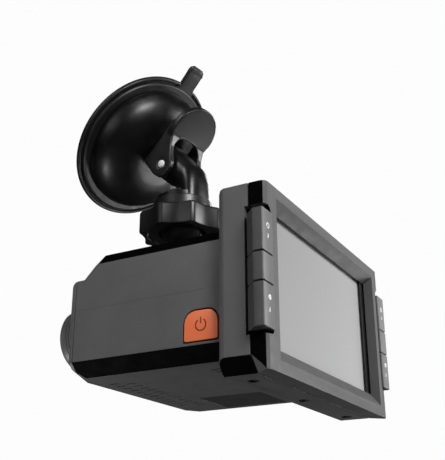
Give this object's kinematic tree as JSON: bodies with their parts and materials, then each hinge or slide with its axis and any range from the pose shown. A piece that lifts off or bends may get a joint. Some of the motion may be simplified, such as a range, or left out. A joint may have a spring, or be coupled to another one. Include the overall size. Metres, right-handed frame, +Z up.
{
  "type": "windshield radar detector with dash camera and screen",
  "caption": "In-car radar detector and dash camera with a rear screen, side keys and lens, hung from a lever-lock suction mount with a ball joint.",
  "frame": {"origin": "centre of the suction cup's sealing face, on the windshield", "axes": "+Z up, the screen faces -Y, the lens and the windshield are towards +Y, +X to the right of somebody who faces the screen"},
  "size_m": [0.105, 0.0986, 0.1359],
  "materials": {
    "front_bezel": "fine matte grey with a soft sheen",
    "rear_shell": "fine matte grey",
    "upper_shell": "fine matte grey",
    "lower_shell": "fine matte grey",
    "front_cover": "fine matte grey",
    "radar_window": "gloss, infrared and radar transparent",
    "lens_barrel": "satin black",
    "lens_ring": "satin anodised",
    "lens_glass": "coated lens",
    "screen_mask": "gloss black border",
    "lcd_panel": "unlit screen, satin",
    "backlight_tray": "stamped",
    "display_board": "green solder mask",
    "main_board": "green solder mask",
    "camera_board": "green solder mask",
    "radar_horn": "die cast",
    "gps_antenna": "ceramic patch",
    "backup_battery": "sleeved cell",
    "speaker": "paper cone in a plastic basket",
    "card_socket": "stamped",
    "memory_card": "satin black",
    "power_inlet": "plated shell",
    "label_plate": "matte black, blank",
    "power_button": "satin orange red",
    "dock_rail": "satin black",
    "mount_shoe": "satin black",
    "ball": "satin black",
    "locking_nut": "satin black",
    "mount_arm": "gloss black",
    "cup_housing": "gloss black",
    "suction_cup": "smooth rubber",
    "plunger": "satin black",
    "lever_pin": "bright",
    "cam_lever": "satin black",
    "left_lower_button": "satin grey",
    "left_middle_button": "satin grey",
    "left_upper_button": "satin grey",
    "right_lower_button": "satin grey",
    "right_middle_button": "satin grey",
    "right_upper_button": "satin grey",
    "case_screw_1": "blackened",
    "case_screw_2": "blackened",
    "case_screw_3": "blackened"
  },
  "bodies": {
    "windshield_mount": {"suction_cup": "suction_cup", "cup_housing": "cup_housing", "mount_arm": "mount_arm"},
    "plunger": {"plunger": "plunger", "lever_pin": "lever_pin"},
    "lever": {"cam_lever": "cam_lever"},
    "nut": {"locking_nut": "locking_nut"},
    "ball": {"ball": "ball"},
    "shoe": {"mount_shoe": "mount_shoe"},
    "device": {"front_bezel": "front_bezel", "rear_shell": "rear_shell", "upper_shell": "upper_shell", "lower_shell": "lower_shell", "front_cover": "front_cover", "radar_window": "radar_window", "lens_barrel": "lens_barrel", "lens_ring": "lens_ring", "lens_glass": "lens_glass", "screen_mask": "screen_mask", "lcd_panel": "lcd_panel", "backlight_tray": "backlight_tray", "display_board": "display_board", "main_board": "main_board", "camera_board": "camera_board", "radar_horn": "radar_horn", "gps_antenna": "gps_antenna", "backup_battery": "backup_battery", "speaker": "speaker", "card_socket": "card_socket", "power_inlet": "power_inlet", "label_plate": "label_plate", "dock_rail": "dock_rail", "case_screw_1": "case_screw_1", "case_screw_2": "case_screw_2", "case_screw_3": "case_screw_3"},
    "power_button": {"power_button": "power_button"},
    "memory_card": {"memory_card": "memory_card"},
    "left_lower_button": {"left_lower_button": "left_lower_button"},
    "left_middle_button": {"left_middle_button": "left_middle_button"},
    "left_upper_button": {"left_upper_button": "left_upper_button"},
    "right_lower_button": {"right_lower_button": "right_lower_button"},
    "right_middle_button": {"right_middle_button": "right_middle_button"},
    "right_upper_button": {"right_upper_button": "right_upper_button"}
  },
  "joints": [
    {"name": "plunger_slide", "type": "slide", "parent": "windshield_mount", "child": "plunger", "axis": [0.1006, 0.7159, 0.6909], "range_m": [0, 0.002]},
    {"name": "lever_hinge", "type": "hinge", "parent": "plunger", "child": "lever", "pos_m": [-0.00252, -0.01796, -0.01678], "axis": [0.9903, -0.1392, 0], "range_deg": [0, 50]},
    {"name": "nut_turn", "type": "hinge", "parent": "windshield_mount", "child": "nut", "pos_m": [-0.00298, -0.02119, -0.0401], "axis": [0, 0, -1], "range_deg": [0, 270]},
    {"name": "ball_pan", "type": "hinge", "parent": "windshield_mount", "child": "ball", "pos_m": [-0.00298, -0.02119, -0.0401], "axis": [0, 0, 1], "continuous": true},
    {"name": "ball_tilt", "type": "hinge", "parent": "ball", "child": "shoe", "pos_m": [-0.00298, -0.02119, -0.0401], "axis": [0.9903, -0.1392, 0], "range_deg": [-20, 20]},
    {"name": "dock_slide", "type": "slide", "parent": "shoe", "child": "device", "axis": [0, 1, 0], "range_m": [0, 0.02]},
    {"name": "left_lower_press", "type": "slide", "parent": "device", "child": "left_lower_button", "axis": [0, 1, 0], "range_m": [0, 0.0005], "stiffness_N_per_m": 500, "springref_m": -0.0004},
    {"name": "left_middle_press", "type": "slide", "parent": "device", "child": "left_middle_button", "axis": [0, 1, 0], "range_m": [0, 0.0005], "stiffness_N_per_m": 500, "springref_m": -0.0004},
    {"name": "left_upper_press", "type": "slide", "parent": "device", "child": "left_upper_button", "axis": [0, 1, 0], "range_m": [0, 0.0005], "stiffness_N_per_m": 500, "springref_m": -0.0004},
    {"name": "right_lower_press", "type": "slide", "parent": "device", "child": "right_lower_button", "axis": [0, 1, 0], "range_m": [0, 0.0005], "stiffness_N_per_m": 500, "springref_m": -0.0004},
    {"name": "right_middle_press", "type": "slide", "parent": "device", "child": "right_middle_button", "axis": [0, 1, 0], "range_m": [0, 0.0005], "stiffness_N_per_m": 500, "springref_m": -0.0004},
    {"name": "right_upper_press", "type": "slide", "parent": "device", "child": "right_upper_button", "axis": [0, 1, 0], "range_m": [0, 0.0005], "stiffness_N_per_m": 500, "springref_m": -0.0004},
    {"name": "power_press", "type": "slide", "parent": "device", "child": "power_button", "axis": [1, 0, 0], "range_m": [0, 0.0005], "stiffness_N_per_m": 500, "springref_m": -0.0004},
    {"name": "card_slide", "type": "slide", "parent": "device", "child": "memory_card", "axis": [1, 0, 0], "range_m": [0, 0.01]}
  ],
  "couplings": [
    {"joint": "plunger_slide", "follows": "lever_hinge", "m_per_rad": 0.002292}
  ]
}
